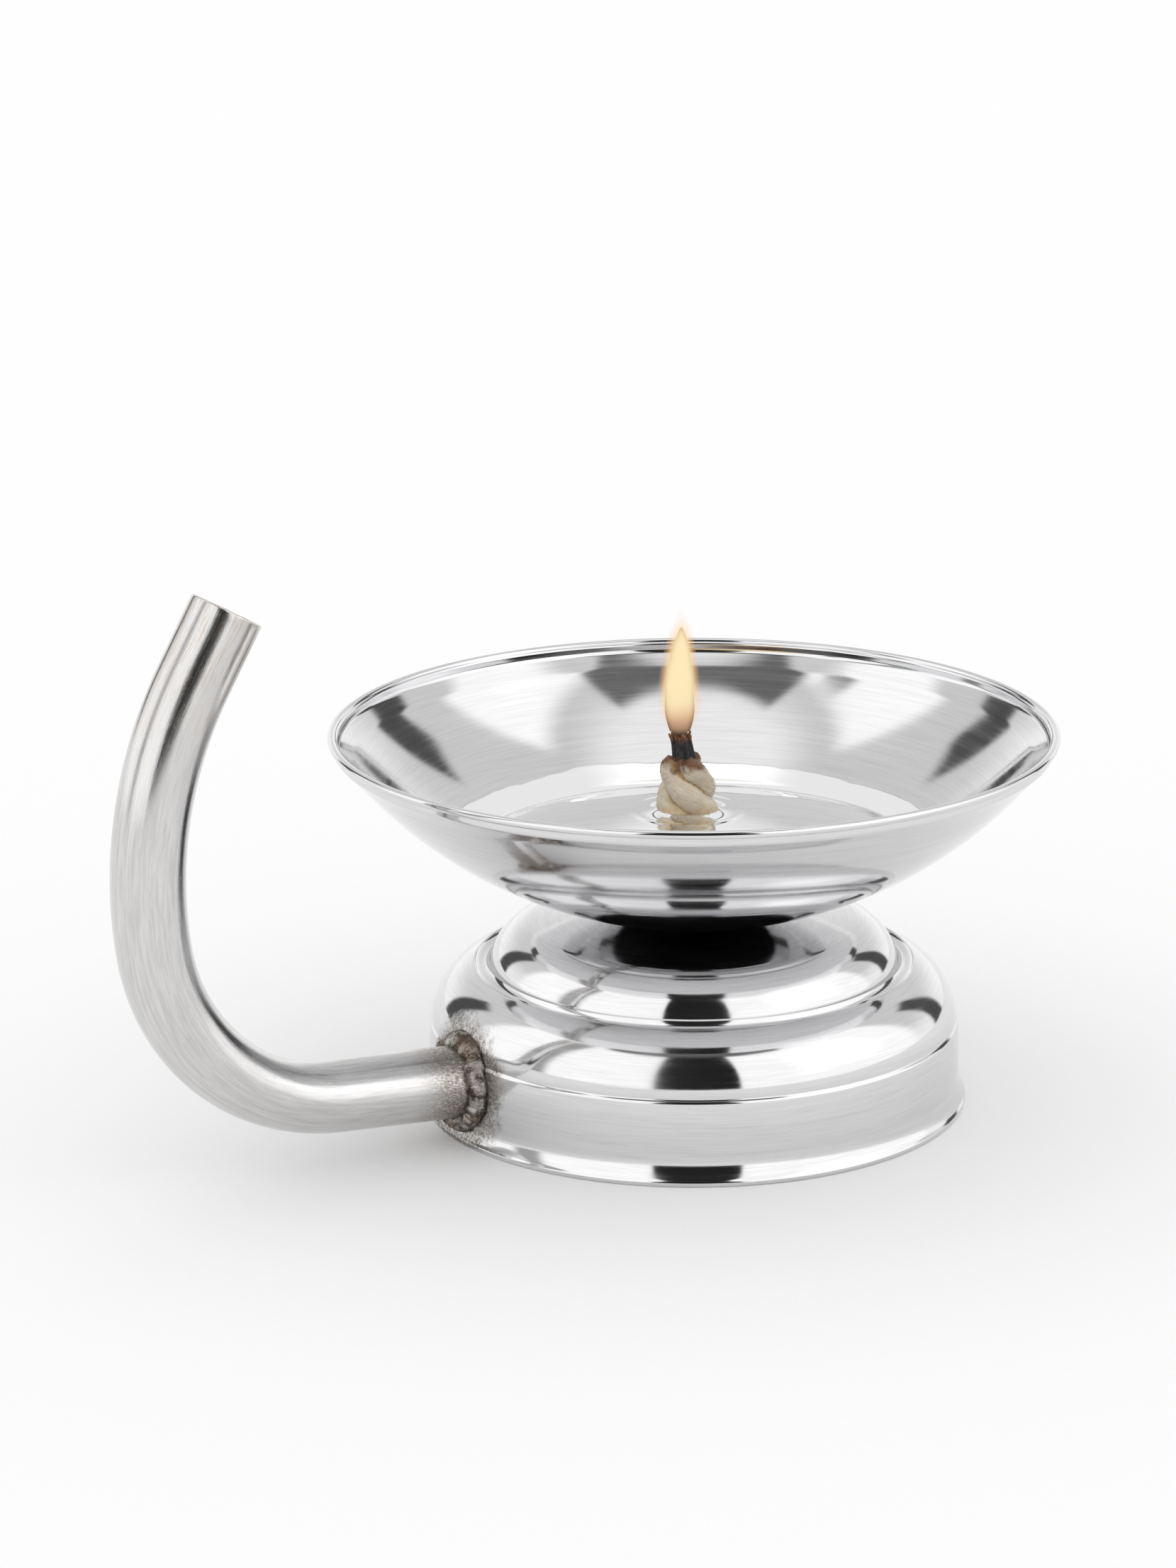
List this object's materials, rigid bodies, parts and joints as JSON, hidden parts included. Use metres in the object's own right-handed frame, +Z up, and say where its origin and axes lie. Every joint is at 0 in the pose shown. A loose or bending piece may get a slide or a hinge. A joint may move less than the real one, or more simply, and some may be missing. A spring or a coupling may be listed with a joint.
{
  "type": "oil lamp",
  "caption": "Polished stainless steel diya: a shallow dish on a stepped hollow foot, with a bent tube handle welded on and a lit twisted cotton wick in golden oil.",
  "frame": {"origin": "on the axis of the dish and foot, on the plane that the hem of the foot rests on", "axes": "+Z up along the axis of the dish and foot; the handle lies in the XZ plane, towards -X"},
  "size_m": [0.1313, 0.096, 0.0775],
  "materials": {
    "polished_steel": "polished",
    "tube_steel": "polished",
    "weld_steel": "matte",
    "lamp_oil": "gloss",
    "cotton": "matte",
    "charred_cotton": "matte",
    "flame_light": "gloss"
  },
  "bodies": {
    "lamp": {"dish": "polished_steel", "stepped_foot": "polished_steel", "handle_tube": "tube_steel", "handle_weld": "weld_steel", "dish_spot_welds": "weld_steel", "oil_pool": "lamp_oil"},
    "wick": {"wick_foot": "cotton", "wick_ply_1": "cotton", "wick_ply_2": "cotton", "wick_ply_3": "cotton", "wick_burnt_tip": "charred_cotton", "flame": "flame_light"}
  },
  "joints": [
    {"name": "wick_lift", "type": "slide", "parent": "lamp", "child": "wick", "axis": [0, 0, 1], "range_m": [0, 0.06]}
  ]
}
